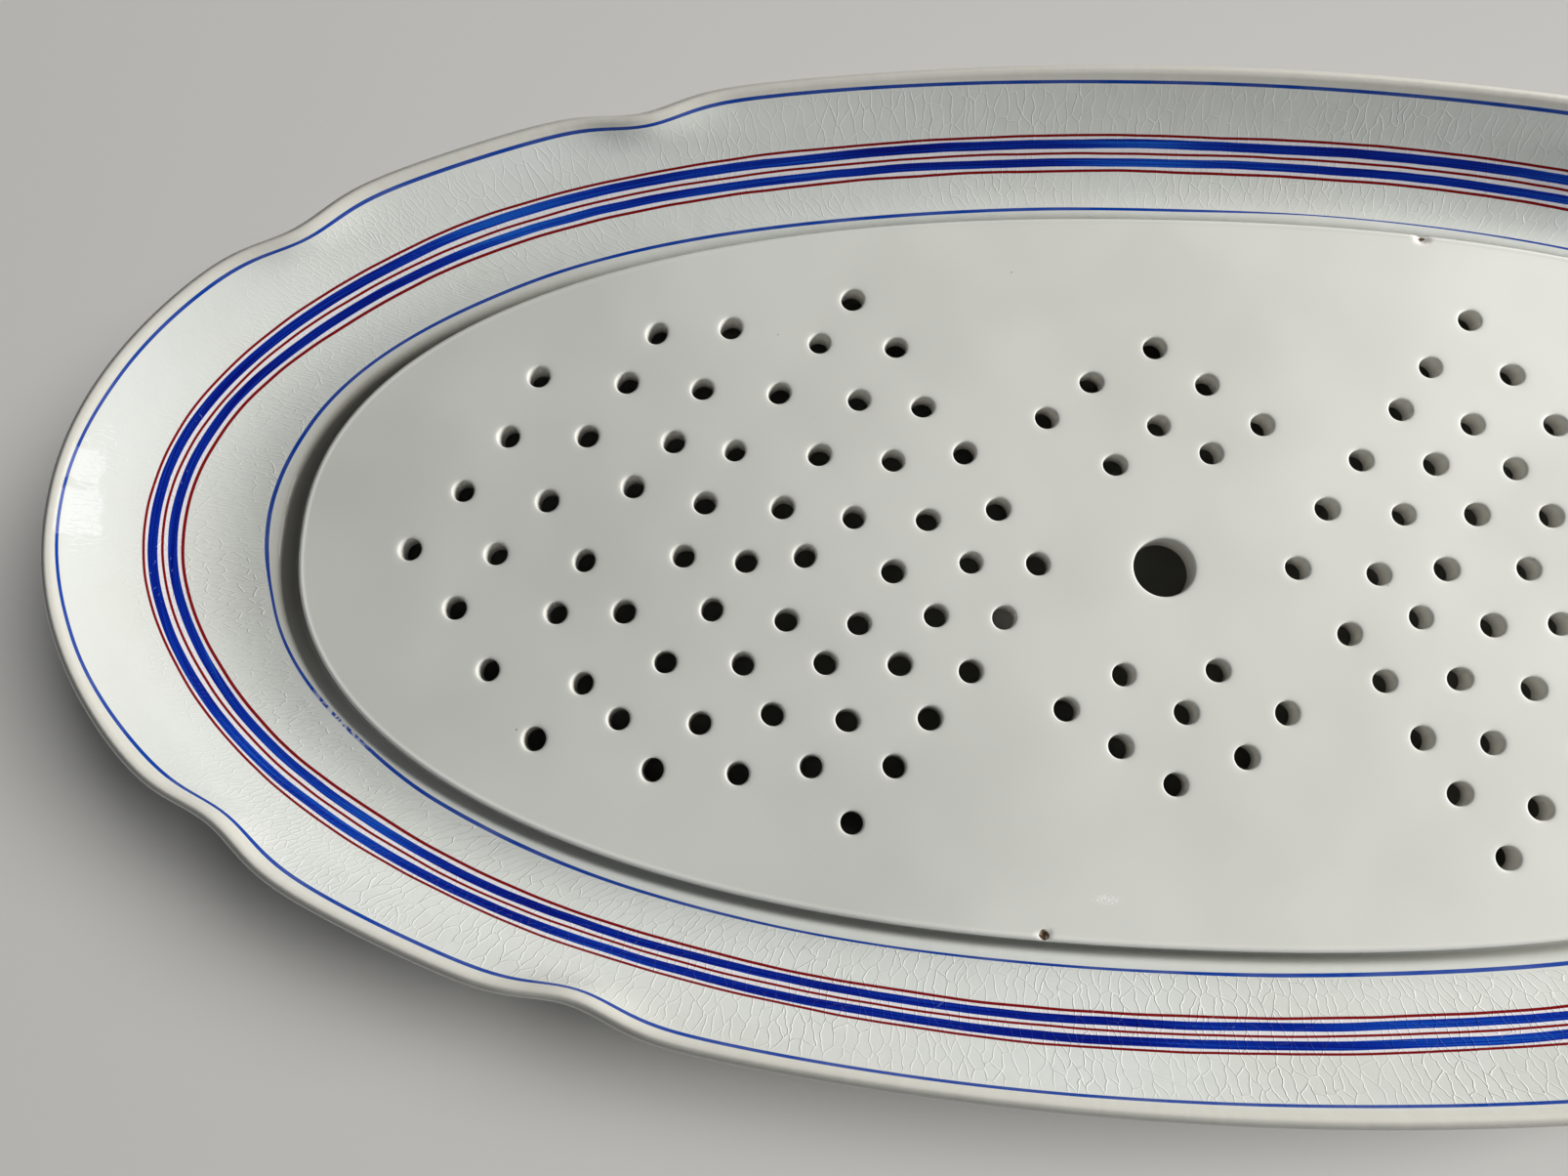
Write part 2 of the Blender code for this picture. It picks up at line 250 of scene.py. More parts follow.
def wingUnder(t):
    a, b, z, power, lobe = wingTop(t)
    climb, end, wall = (platterForm[name] for name in ("wingPower", "wingEnd", "wall"))
    rise = (lipZ - vergeZ) * climb * t ** (climb - 1)
    slopeA = math.atan2(rise, (crestA - vergeA) * end * t ** (end - 1))
    slopeB = math.atan2(rise, crestB - vergeB)
    z -= wall * math.cos((slopeA + slopeB) / 2)
    return a + wall * math.sin(slopeA), b + wall * math.sin(slopeB), z, power, lobe


def bend(start, middle, end, t):
    return tuple(mix(mix(p, q, t), mix(q, r, t), t) for p, q, r in zip(start, middle, end))


def platterRows():
    # from the middle of the base outwards, over the lip and down to the middle of the well
    form = platterForm
    p = form["ovalPower"]
    inA, inB, seatZ = form["seatInner"]
    outA, outB, _ = form["seatOuter"]
    footA, footB = inA - form["footInset"], inB - form["footInset"]
    high, wide, r = form["footHeight"], form["footWidth"], form["footRound"]
    # base and foot ring: how far in from the foot's outer edge, and height
    steps = [(0.05, high), (wide + 0.002, high), (wide + 0.0007, high - 0.0002), (wide, high - 0.001)]
    for turn in (0, 30, 60, 90):
        s, c = sineCosine(turn)
        steps.append((wide - r * (1 - c), r * (1 - s)))
    for turn in (90, 60, 30, 0):
        s, c = sineCosine(turn)
        steps.append((r * (1 - c), r * (1 - s)))
    steps.append((-0.0001, high - 0.001))
    rows = [(0, 0, high)] + [(footA - d, footB - d, z) for d, z in steps]
    start = wingUnder(form["wingUnder"][0])[:3]
    tuck, end = (outA, outB, form["floorLevel"]), (footA + r, footB + r, high)
    rows += [bend(start, tuck, end, 1 - i / form["tuckRows"]) for i in range(form["tuckRows"])]
    rows = [(*row, p, 0.0) for row in rows]
    rows += [wingUnder(mix(*form["wingUnder"], i / form["underRows"])) for i in range(form["underRows"] + 1)]
    lip = []
    for turn in range(150, -1, -15):
        s, c = sineCosine(turn)
        out, drop = form["lipRound"] * s, form["lipRound"] * (1 - c)
        lip.append((crestA + out, crestB + out, lipZ - drop, form["lipPower"], 1.0))
    rows += [tuple(mix(u, v, 0.5) for u, v in zip(rows[-1], lip[0]))] + lip
    crestRow = len(rows) - 1
    rows += [wingTop(1 - i / form["wingRows"]) for i in range(1, form["wingRows"] + 1)]
    climb, curve = form["shoulder"]
    for i in range(form["shoulderRows"] - 1, -1, -1):
        u = i / form["shoulderRows"]
        up = (1 - math.exp(-(u / climb) ** curve)) / (1 - math.exp(-(1 / climb) ** curve))
        rows.append((mix(outA, vergeA, u), mix(outB, vergeB, u), mix(seatZ, vergeZ, up), p, 0.0))
    # the seat's softened inner edge, the leaning side of the well and its floor
    steps = [(-0.0012, seatZ), (-0.0005, seatZ - 0.0001), (0, seatZ - 0.0004), (0.0004, seatZ - 0.001)]
    lean, bow, base = form["wellLean"], form["floorRound"], form["floorLevel"]
    for turn in range(90, -1, -15):
        s, c = sineCosine(turn)
        steps.append((lean + bow * (1 - s), base + bow * (1 - c)))
    steps.append((0.06, base))
    rows += [(inA - d, inB - d, z, p, 0.0) for d, z in steps] + [(0, 0, base, p, 0.0)]
    across = [0.0]
    for u, v in zip(rows, rows[1:]):
        across.append(across[-1] + math.hypot((v[0] - u[0] + v[1] - u[1]) / 2, v[2] - u[2]))
    return rows, [d - across[crestRow] for d in across], crestRow


rows, across, crestRow = platterRows()
vergeAt = across[crestRow + platterForm["wingRows"]]     # where the thin inner line runs


def acrossOf(t):
    # distance from the crest of the lip, measured down the wing
    f = (1 - t) * platterForm["wingRows"]
    i = min(int(f), platterForm["wingRows"] - 1)
    return mix(across[crestRow + i], across[crestRow + i + 1], f - i)


stripeForm = {
    "middle": (0.2780, 0.1221, 2.117),      # oval of the middle red line: end reach, side reach, squareness
    # how far the brush wandered outwards, in mm, at places round the rim in degrees
    "wander": (
        (0, 0.3), (28, 0.7), (50, 1.3), (70, 1.1), (90, 0.05), (104, 0.15), (130, 1.55), (152, 0.0), (177, 0.95),
        (200, -1.3), (214, -1.05), (238, 0.45), (260, 0.75), (284, -0.85), (310, -0.4), (336, 0.5), (360, 0.3)),
    "outerLine": 0.935,                     # place of the thin outer line up the wing
    "outerWander": (
        (0, 0.9), (40, 0.0), (90, -0.2), (110, 0.4), (140, 0.0), (165, 0.5), (180, 1.4), (195, 0.5),
        (210, -0.5), (235, 0.0), (255, 0.4), (280, -0.7), (320, 0.0), (360, 0.9)),
    "innerWander": (
        (0, 0.4), (40, -0.4), (80, 0.5), (90, -0.3), (107, -0.9), (130, -0.3), (140, -0.6), (165, 0.4), (178, 1.0),
        (190, -0.6), (209, -1.6), (221, -0.7), (240, 0.0), (252, 0.2), (266, 0.0), (284, -0.9), (320, -0.2),
        (360, 0.4)),
}


def wander(line, degrees):
    for (a, u), (b, v) in zip(stripeForm[line], stripeForm[line][1:]):
        if a <= degrees <= b:
            return mix(u, v, smooth(a, b, degrees)) / 1000
    return 0.0


def ringPoint(t, angle):
    a, b, z, power, _ = wingTop(t)
    return Vector((*oval(a, b, power, angle), z))


def platterColumns():
    # columns at even distances along the lip, with the numbers that each one carries
    form = platterForm
    fine = 7200         # steps for measuring round the lip
    total = [0.0]
    for i in range(fine):
        u, v = (oval(lipA, lipB, form["lipPower"], 2 * math.pi * k / fine) for k in (i, i + 1))
        total.append(total[-1] + math.dist(u, v))
    marks = [oval(lipA, lipB, form["lipPower"], math.radians(d)) for d in form["notchAngles"]]
    midA, midB, midPower = stripeForm["middle"]
    outerAt = acrossOf(stripeForm["outerLine"])
    fields = {name: [] for name in rimFields}
    last, run, j = None, 0.0, 0
    for k in range(form["columns"] + 1):
        target = total[-1] * k / form["columns"]
        while j < fine - 1 and total[j + 1] < target:
            j += 1
        angle = 2 * math.pi * (j + (target - total[j]) / (total[j + 1] - total[j])) / fine
        x, y = oval(lipA, lipB, form["lipPower"], angle)
        dip = 0.0
        for nx, ny in marks:
            away = math.hypot(abs(x) - nx, abs(y) - ny)
            dip += form["notchDepth"] * math.exp(-(away / form["notchReach"]) ** 2 / 2)
            dip -= form["lobeBulge"] * math.exp(-(away / form["lobeReach"]) ** 2 / 2)
        low, high = 0.2, 0.8        # the middle red line lies between these, found by halving
        for _ in range(30):
            t = (low + high) / 2
            p = ringPoint(t, angle)
            inside = abs(p.x / midA) ** midPower + abs(p.y / midB) ** midPower < 1
            low, high = (t, high) if inside else (low, t)
        rim = (ringPoint(t, angle + 0.01) - ringPoint(t, angle - 0.01)).normalized()
        up = ringPoint(t + 0.02, angle) - ringPoint(t - 0.02, angle)
        stretch = (up - rim * up.dot(rim)).length / (acrossOf(t - 0.02) - acrossOf(t + 0.02))
        run += (p - last).length if last else 0.0
        last = p
        lines = {"wander": acrossOf(t), "innerWander": vergeAt, "outerWander": outerAt}
        places = [at - wander(line, math.degrees(angle)) / stretch for line, at in lines.items()]
        for name, value in zip(rimFields, (angle, dip, run, stretch, *places)):
            fields[name].append(value)
    return fields


def addRim(name, fields):
    size = len(fields["angle"])
    carried = {field: fields.get(field, [0.0] * size) for field in rimFields}
    return pointObject(name, [(0, 0, 0)] * size, **carried)


def addProfile(name, rows, across=None):
    return pointObject(
        name, [row[:3] for row in rows], power=[row[3] for row in rows], lobe=[row[4] for row in rows],
        across=across or [0.0] * len(rows))


platterTree, add, given = newTree("platterShape", {
    "Profile": "Geometry", "Rim": "Object", "Wave Height": "Float", "Wave Scale": "Float", "Wave Start": "Float",
    "Wave Full": "Float", "Glaze": "Material"})
rim = add("GeometryNodeObjectInfo", {"Object": given["Rim"]}, out="Geometry")
dish = add("GeometryNodeGroup", {"Profile": given["Profile"], "Rim": rim}, node_tree=loftTree)
spot = add("GeometryNodeInputPosition")
noise = add("ShaderNodeTexNoise", {"Vector": spot, "Scale": given["Wave Scale"], "Detail": 1.0})
noise = add("ShaderNodeMath", {0: noise, 1: 0.5}, operation="SUBTRACT")
height = add("ShaderNodeSeparateXYZ", {0: spot}, out=2)
share = add("ShaderNodeMapRange", {"Value": height, "From Min": given["Wave Start"], "From Max": given["Wave Full"]},
            interpolation_type="SMOOTHSTEP")
for factor in (share, given["Wave Height"]):
    noise = add("ShaderNodeMath", {0: noise, 1: factor}, operation="MULTIPLY")
facing = add("GeometryNodeInputNormal")
wave = add("ShaderNodeVectorMath", {0: facing, "Scale": noise}, operation="SCALE")
dish = add("GeometryNodeSetPosition", {"Geometry": dish, "Offset": wave})
dish = add("GeometryNodeSetShadeSmooth", {"Geometry": dish})
dish = add("GeometryNodeRealizeInstances", {"Geometry": dish})
dish = add("GeometryNodeSetMaterial", {"Geometry": dish, "Material": given["Glaze"]})
add("NodeGroupOutput", {0: dish})

# Painted lines, in mm outwards from the middle red line: place, width, paint
paintedBands = (
    (-2.5, 2.42, "blue"), (2.6, 2.55, "blue"), (-5.0, 0.85, "red"), (0.0, 0.72, "red"), (4.9, 0.72, "red"))
platterLook = {
    "glaze": "#e0e4e0",         # tin-white glaze with a green cast
    "glazeWarm": "#dadcd5",
    "betweenLines": "#eae6ea",  # the glaze takes a breath of colour between the lines
    "lip": "#dad7cc",           # thin glaze over the rolled lip lets the cream body through
    "crackle": "#f0f1ea",
    # cells of the crackle, in mm round the rim and across it: everywhere, and closer at the left end
    "crackleCells": ((2.7, 8.0), (1.5, 3.6)),
    "crackleWidth": 0.45,       # mm
    "crackleShare": 0.45,       # how far its lines turn to their own colour
    "crackleRidge": 0.7,        # how high they stand, to the waves of the glaze
    "grooveShadow": "#a19f95",        # painted shadow of the drainer on the side of the well
    "well": "#a9a79e",          # painted shade: the well looks near black through the holes, so its glaze is darkened there
    "blueDeep": "#000c74",
    "blue": "#042d9c",
    "blueStreak": "#185abe",
    "red": "#7e0d11",
    "bandWobble": 0.22,         # mm to either side
    "thinBlue": "#0a3f9e",
    "thinWidth": 0.88,          # mm
    "wornSpot": (-0.2259, -0.0548, 0.0368),
    "clay": "#c9b694",          # bare body under the foot ring
    "clayRoughness": 0.85,
    "roughness": 0.03,
}


def platterGlaze():
    # Crackled tin glaze on earthenware: a soft white gloss with banded paint and a fine net of crackle.
    look, paint = platterLook, tintsOf(platterLook)
    material, add, shader = makeMaterial("crackledFaienceGlaze")
    chart = add("ShaderNodeUVMap", uv_map="UVMap")      # metres round the rim, and down from the crest of the lip
    down = add("ShaderNodeSeparateXYZ", {0: chart}, out=1)
    stripe = add("ShaderNodeAttribute", out=2, attribute_name="stripe")
    spot = add("ShaderNodeTexCoord", out="Object")
    endways, sideways, level = add("ShaderNodeSeparateXYZ", {0: spot}).node.outputs
    atLeft = add("ShaderNodeMapRange", {"Value": endways, "From Min": -0.15, "From Max": -0.23})

    # broad warm patches, about 9 cm wide
    patch = add("ShaderNodeTexNoise", {"Vector": spot, "Scale": 11.0, "Detail": 3.0})
    patch = add("ShaderNodeMapRange", {"Value": patch, "From Min": 0.35, "From Max": 0.7})
    layers = [(patch, paint["glazeWarm"])]

    # crackle: long cells lying across the wing, their lines drawn wider than life so that they show
    nets = []
    for wide, long in look["crackleCells"]:
        grain = (1000 / wide, 1000 / long, 1)
        cells = add("ShaderNodeVectorMath", {0: chart, 1: grain}, operation="MULTIPLY")
        warp = add("ShaderNodeTexNoise", {"Vector": chart, "Scale": 190.0, "Detail": 2.0}, out="Color")
        warp = add("ShaderNodeVectorMath", {0: warp, 1: (1.0, 0.35, 0)}, operation="MULTIPLY")
        cells = add("ShaderNodeVectorMath", {0: cells, 1: warp}, operation="ADD")
        first, second = (
            add("ShaderNodeTexVoronoi", {"Vector": cells, "Scale": 1.0}, feature=kind, voronoi_dimensions="2D")
            for kind in ("F1", "F2"))
        middles = {i: near.node.outputs["Position"] for i, near in enumerate((first, second))}
        slope = add("ShaderNodeVectorMath", middles, operation="SUBTRACT")
        slope = add("ShaderNodeVectorMath", {0: slope, 1: grain}, operation="MULTIPLY")
        slope = add("ShaderNodeVectorMath", {0: slope}, out="Value", operation="LENGTH")
        inner, outer = (add("ShaderNodeMath", {0: far, 1: far}, operation="MULTIPLY") for far in (first, second))
        edge = add("ShaderNodeMath", {0: outer, 1: inner}, operation="SUBTRACT")
        # twice the distance to the nearest line
        edge = add("ShaderNodeMath", {0: edge, 1: slope}, operation="DIVIDE")
        nets.append(add("ShaderNodeMapRange", {
            "Value": edge, "From Max": look["crackleWidth"] / 1000, "To Min": 1.0, "To Max": 0.0}))
    closer = add("ShaderNodeTexNoise", {"Vector": spot, "Scale": 60.0, "Detail": 1.0})
    closer = add("ShaderNodeMath", {0: closer, 1: 0.06, 2: endways}, operation="MULTIPLY_ADD")
    closer = add("ShaderNodeMapRange", {"Value": closer, "From Min": -0.172, "From Max": -0.178})
    crack = add("ShaderNodeMix", {0: closer, 2: nets[0], 3: nets[1]}, data_type="FLOAT")
    fade = add("ShaderNodeTexNoise", {"Vector": chart, "Scale": 45.0, "Detail": 1.0})
    fade = add("ShaderNodeMapRange", {"Value": fade, "From Min": 0.38, "From Max": 0.62, "To Min": 0.5})
    # it lies on the wing alone, weaker along the far side and on the outer wing at the left end
    outer = add("ShaderNodeMapRange", {"Value": down, "From Min": 0.024, "From Max": 0.016, "To Max": 0.85})
    farEnd = add("ShaderNodeMapRange", {"Value": endways, "From Min": -0.235, "From Max": -0.265})
    outer = add("ShaderNodeMath", {0: outer, 1: farEnd}, operation="MULTIPLY")
    outer = add("ShaderNodeMath", {0: 1.0, 1: outer}, operation="SUBTRACT")
    shares = [fade, outer]
    for value, begin, full, low, high in (
            (down, 0.003, 0.006, 0.0, 1.0), (down, vergeAt + 0.0004, vergeAt - 0.0008, 0.0, 1.0),
            (sideways, -0.06, 0.12, 1.2, 0.55)):
        shares.append(add("ShaderNodeMapRange", {
            "Value": value, "From Min": begin, "From Max": full, "To Min": low, "To Max": high}))
    for share in shares:
        crack = add("ShaderNodeMath", {0: crack, 1: share}, operation="MULTIPLY")
    faint = add("ShaderNodeMath", {0: crack, 1: look["crackleShare"]}, operation="MULTIPLY")
    layers.append((faint, paint["crackle"]))

    # painted shadow of the drainer on the side of the well: darker towards the drainer and most at the upper left
    drainerShadow = add("ShaderNodeMapRange", {"Value": down, "From Min": vergeAt, "From Max": vergeAt + 0.0032})
    above = add("ShaderNodeMapRange", {"Value": level, "From Min": 0.0290, "From Max": 0.0312})
    more = add("ShaderNodeMapRange", {"Value": sideways, "From Min": -0.06, "From Max": -0.02})
    more = add("ShaderNodeMath", {0: more, 1: atLeft}, operation="MULTIPLY")
    more = add("ShaderNodeMapRange", {"Value": more, "To Min": 0.2})
    for share in (above, more):
        drainerShadow = add("ShaderNodeMath", {0: drainerShadow, 1: share}, operation="MULTIPLY")
    # painted shade deep in the well, under the drainer
    wellShade = add("ShaderNodeMapRange", {
        "Value": down, "From Min": vergeAt + 0.009, "From Max": vergeAt + 0.014, "To Max": 0.85})
    layers += [(drainerShadow, paint["grooveShadow"]), (wellShade, paint["well"])]

    # the lip, streaked across every 2 to 3 mm
    streaks = add("ShaderNodeVectorMath", {0: chart, 1: (420, 60, 1)}, operation="MULTIPLY")
    streaks = add("ShaderNodeTexNoise", {"Vector": streaks, "Scale": 1.0, "Detail": 2.0})
    streaks = add("ShaderNodeMapRange", {"Value": streaks, "From Min": 0.3, "From Max": 0.7, "To Min": 0.55})
    lip = add("ShaderNodeMapRange", {"Value": down, "From Min": 0.0042, "From Max": 0.0020},
              interpolation_type="SMOOTHSTEP")
    lip = add("ShaderNodeMath", {0: lip, 1: streaks}, operation="MULTIPLY")
    layers.append((lip, paint["lip"]))

    # glaze tinted between the painted lines
    zone = add("ShaderNodeMath", {0: stripe}, operation="ABSOLUTE")
    zone = add("ShaderNodeMapRange", {"Value": zone, "From Min": 0.0058, "From Max": 0.0046, "To Max": 0.75},
               interpolation_type="SMOOTHSTEP")
    layers.append((zone, paint["betweenLines"]))

    # brush streaks in the blue, about 0.4 mm wide and 45 mm long
    brush = add("ShaderNodeVectorMath", {0: chart, 1: (22, 2600, 1)}, operation="MULTIPLY")
    brush = add("ShaderNodeTexNoise", {"Vector": brush, "Scale": 1.0, "Detail": 2.0})
    load = add("ShaderNodeTexNoise", {"Vector": chart, "Scale": 16.0, "Detail": 1.0})
    brush = add("ShaderNodeMath", {0: brush, 1: load}, operation="ADD")
    brush = add("ShaderNodeMapRange", {"Value": brush, "From Min": 0.80, "From Max": 1.28})
    full = add("ShaderNodeMapRange", {"Value": brush, "From Min": 0.0, "From Max": 0.5})
    thin = add("ShaderNodeMapRange", {"Value": brush, "From Min": 0.55, "From Max": 1.0})
    blue = paint["blueDeep"]
    for share, over in ((full, paint["blue"]), (thin, paint["blueStreak"])):
        blue = add("ShaderNodeMix", {0: share, 6: blue, 7: over}, out=2, data_type="RGBA")
    bands = {"blue": blue, "red": paint["red"]}

    # banded lines, each wandering a little every 3 to 4 cm
    wobble, soft = look["bandWobble"], 0.00008
    for i, (at, width, band) in enumerate(paintedBands):
        hand = add("ShaderNodeVectorMath", {0: chart, 1: (28, 0, 0)}, operation="MULTIPLY")
        hand = add("ShaderNodeVectorMath", {0: hand, 1: (0, 7.3 * i, 0)}, operation="ADD")
        hand = add("ShaderNodeTexNoise", {"Vector": hand, "Scale": 1.0, "Detail": 2.0})
        hand = add("ShaderNodeMapRange", {
            "Value": hand, "From Min": 0.3, "From Max": 0.7,
            "To Min": (at - wobble) / 1000, "To Max": (at + wobble) / 1000})
        off = add("ShaderNodeMath", {0: stripe, 1: hand}, operation="SUBTRACT")
        off = add("ShaderNodeMath", {0: off}, operation="ABSOLUTE")
        half = width / 2000
        line = add("ShaderNodeMapRange", {"Value": off, "From Min": half + soft, "From Max": half - soft},
                   interpolation_type="SMOOTHSTEP")
        layers.append((line, bands[band]))

    # thin lines at the verge and inside the lip, thinner where the brush ran dry and worn off at one spot
    dry = add("ShaderNodeVectorMath", {0: chart, 1: (60, 300, 1)}, operation="MULTIPLY")
    dry = add("ShaderNodeTexNoise", {"Vector": dry, "Scale": 1.0, "Detail": 3.0})
    dry = add("ShaderNodeMapRange", {"Value": dry, "From Min": 0.25, "From Max": 0.6, "To Min": 0.9})
    worn = add("ShaderNodeVectorMath", {0: spot, 1: look["wornSpot"]}, out="Value", operation="DISTANCE")
    worn = add("ShaderNodeMapRange", {"Value": worn, "From Min": 0.014, "From Max": 0.005, "To Max": 0.75})
    rub = add("ShaderNodeTexNoise", {"Vector": spot, "Scale": 700.0, "Detail": 2.0})
    rub = add("ShaderNodeMapRange", {"Value": rub, "From Min": 0.46, "From Max": 0.54})
    worn = add("ShaderNodeMath", {0: worn, 1: rub}, operation="MULTIPLY")
    worn = add("ShaderNodeMath", {0: 1.0, 1: worn}, operation="SUBTRACT")
    half, soft = look["thinWidth"] / 2000, 0.00006
    for field in ("innerLine", "outerLine"):
        off = add("ShaderNodeAttribute", out=2, attribute_name=field)
        off = add("ShaderNodeMath", {0: off}, operation="ABSOLUTE")
        line = add("ShaderNodeMapRange", {"Value": off, "From Min": half + soft, "From Max": half - soft},
                   interpolation_type="SMOOTHSTEP")
        for share in (dry, worn):
            line = add("ShaderNodeMath", {0: line, 1: share}, operation="MULTIPLY")
        layers.append((line, paint["thinBlue"]))

    # bare clay where the foot ring stands
    bare = add("ShaderNodeMapRange", {"Value": level, "From Min": 0.0006, "From Max": 0.0002})
    layers.append((bare, paint["clay"]))
    rough = add("ShaderNodeMapRange", {"Value": bare, "To Min": look["roughness"], "To Max": look["clayRoughness"]})

    # relief: the crackle stands as fine ridges, and the glaze lies a little wavy, about every 8 mm
    ripple = add("ShaderNodeTexNoise", {"Vector": spot, "Scale": 120.0, "Detail": 2.0})
    relief = add("ShaderNodeMath", {0: crack, 1: look["crackleRidge"], 2: ripple}, operation="MULTIPLY_ADD")
    bump = add("ShaderNodeBump", {"Strength": 0.7, "Distance": 0.00018, "Height": relief})

    # all the colours, laid one over the other
    colour = paint["glaze"]
    for share, over in layers:
        colour = add("ShaderNodeMix", {0: share, 6: colour, 7: over}, out=2, data_type="RGBA")
    feed(shader, {"Base Color": colour, "Roughness": rough, "Normal": bump})
    return material


platterRim = addRim("platterRim", platterColumns())
platter = bakeTree("glazedPlatter", addProfile("platterProfile", rows, across), platterTree, {
    "Rim": platterRim, "Wave Height": platterForm["waveHeight"] * 2, "Wave Scale": platterForm["waveScale"],
    "Wave Start": vergeZ, "Wave Full": vergeZ + platterForm["waveFade"], "Glaze": platterGlaze()}, [platterRim])
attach(platter, "platter")
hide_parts("platter")

drainerForm = {
    "length": 0.4850,
    "width": 0.2062,
    "thick": 0.0075,
    "taper": 0.0030,                            # how far the underside is drawn in
    "ovalPower": 2.24,
    "lay": (0.0010, 0.0008, 0.0315, 0.4),       # where it lies: x, y, underside, turn in degrees
    "smallHole": (0.0064, 0.0005, 0.0060, 24),      # width, softening of its mouth, collar's reach, columns
    "fingerHole": (0.0165, 0.0006, 0.0120, 48),
    "seed": 8,
    "squash": 0.05,                             # how far a punched hole is from round
    "lean": 0.0005,                             # how far its foot drifts from its mouth
    # chips in the upper edge: x, y, radius, how far each is stained
    "chips": ((-0.0331, -0.1009, 0.0015, 1.0), (0.0769, 0.0985, 0.0022, 0.66)),
    "chipDepth": 0.0008,
    "chipGrain": 900.0,                         # jags per metre, so about 1 mm each
    "edgeRound": (0.0011, 0.0009),              # width and depth of the rounded edge
    "edgeBead": (0.00010, 0.0008),              # glaze that gathered along the edge: height and width
    "edgeColumns": 1400,
}
drainA, drainB = drainerForm["length"] / 2, drainerForm["width"] / 2
halfThick = drainerForm["thick"] / 2
layX, layY, layZ, layTurn = drainerForm["lay"]
tilt, turned = sineCosine(layTurn)


def laid(x, y):
    return x * turned - y * tilt + layX, x * tilt + y * turned + layY


def holeCentres():
    # read off the CAD drainer, where the corners of each hole lie in a tight ring on the flat top;
    # the widest ring is the finger hole
    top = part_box("drainer")[1].z
    corners = {tuple(round(c, 6) for c in vertex.co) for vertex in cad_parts["drainer"].data.vertices}
    corners = sorted(c[:2] for c in corners if abs(c[2] - top) < 0.00002)
    rings = []
    while corners:
        ring = [corners.pop()]
        for here in ring:
            near = [c for c in corners if math.dist(c, here) < 0.003]
            corners = [c for c in corners if c not in near]
            ring += near
        middle = [(min(axis) + max(axis)) / 2 for axis in zip(*ring)]
        rings.append((max(math.dist(middle, c) for c in ring), middle))
    centres = []
    for radius, (x, y) in sorted(rings, reverse=True):
        if radius > 0.002:
            x, y = x - layX, y - layY
            centres.append((x * turned + y * tilt, y * turned - x * tilt, 0))
    return centres


def collarRows(width, mouth, outer):
    # a hole's glaze-softened mouth, throat and foot; mouth is how wide the softening is
    radius, t = width / 2, drainerForm["thick"]
    shape = [(outer, 0)] + [(radius + mouth * u, -mouth * v) for u, v in (
        (3.2, 0.02), (2.2, 0.07), (1.5, 0.13), (1.0, 0.21), (0.62, 0.34), (0.3, 0.55), (0.1, 0.85), (0.0, 1.3),
        (-0.1, 3.5))]
    shape += [(radius - mouth * 0.2, 0.0009 - t), (radius + 0.0002, 0.0003 - t), (radius + 0.0008, -t), (outer, -t)]
    return [(r, r, halfThick + z, 2.0, 0.0) for r, z in shape]


def edgeRows():
    # the plate's tapered side, from the flat underside up to the rounded edge of the flat top
    h, inset = halfThick, drainerForm["taper"]
    wide, deep = drainerForm["edgeRound"]
    bead, beadWide = drainerForm["edgeBead"]
    shape = [(0.0090, -h), (0.0060, -h), (inset + 0.0010, -h), (inset + 0.0005, -h + 0.0001),
             (inset + 0.0001, -h + 0.0004), (inset * 0.88, -h + 0.0010)]
    shape += [(inset * (1 - u), mix(-h, h, u)) for u in (0.35, 0.6, 0.8)]
    for turn in range(0, 91, 10):
        s, c = sineCosine(turn)
        shape.append((wide * (1 - c), h + bead - deep * (1 - s)))
    shape += [(wide + beadWide * u, h + bead * (1 - smooth(0, 1, u))) for u in (0.25, 0.5, 0.75, 1.0)]
    shape += [(d, h) for d in (0.0024, 0.0029, 0.0035, 0.0043, 0.0055, 0.0090)]
    return [(drainA - d, drainB - d, z, drainerForm["ovalPower"], 0.0) for d, z in shape]


def evenAngles(count):
    return {"angle": [2 * math.pi * i / count for i in range(count + 1)]}


drainerTree, add, given = newTree("piercedPlate", {
    "Holes": "Geometry", "Mouth": "Object", "Mouth Rim": "Object", "Finger": "Object", "Finger Rim": "Object",
    "Edge": "Object", "Edge Rim": "Object", "Thickness": "Float", "Chip 1": "Vector", "Chip 1 Radius": "Float",
    "Chip 2": "Vector", "Chip 2 Radius": "Float", "Chip Depth": "Float", "Chip Grain": "Float", "Glaze": "Material"})
lofts = {}
for part in ("Mouth", "Finger", "Edge"):
    profile = add("GeometryNodeObjectInfo", {"Object": given[part]}, out="Geometry")
    rim = add("GeometryNodeObjectInfo", {"Object": given[part + " Rim"]}, out="Geometry")
    lofts[part] = add("GeometryNodeGroup", {"Profile": profile, "Rim": rim}, node_tree=loftTree)
hollow = {}
for field in ("finger", "turn", "squash", "lean"):
    kind = "FLOAT" if field == "finger" else "FLOAT_VECTOR"
    hollow[field] = add("GeometryNodeInputNamedAttribute", {"Name": field}, data_type=kind)
small = add("ShaderNodeMath", {0: 1.0, 1: hollow["finger"]}, operation="SUBTRACT")
mouths = add("GeometryNodeInstanceOnPoints", {
    "Points": given["Holes"], "Selection": small, "Instance": lofts["Mouth"],
    "Rotation": hollow["turn"], "Scale": hollow["squash"]})
fingerHole = add("GeometryNodeInstanceOnPoints", {
    "Points": given["Holes"], "Selection": hollow["finger"], "Instance": lofts["Finger"]})
holes = add("GeometryNodeJoinGeometry", {0: [mouths, fingerHole]})
holes = add("GeometryNodeRealizeInstances", {"Geometry": holes})
spot = add("GeometryNodeInputPosition")
height = add("ShaderNodeSeparateXYZ", {0: spot}, out=2)
down = add("ShaderNodeMath", {0: height, 1: given["Thickness"]}, operation="DIVIDE")
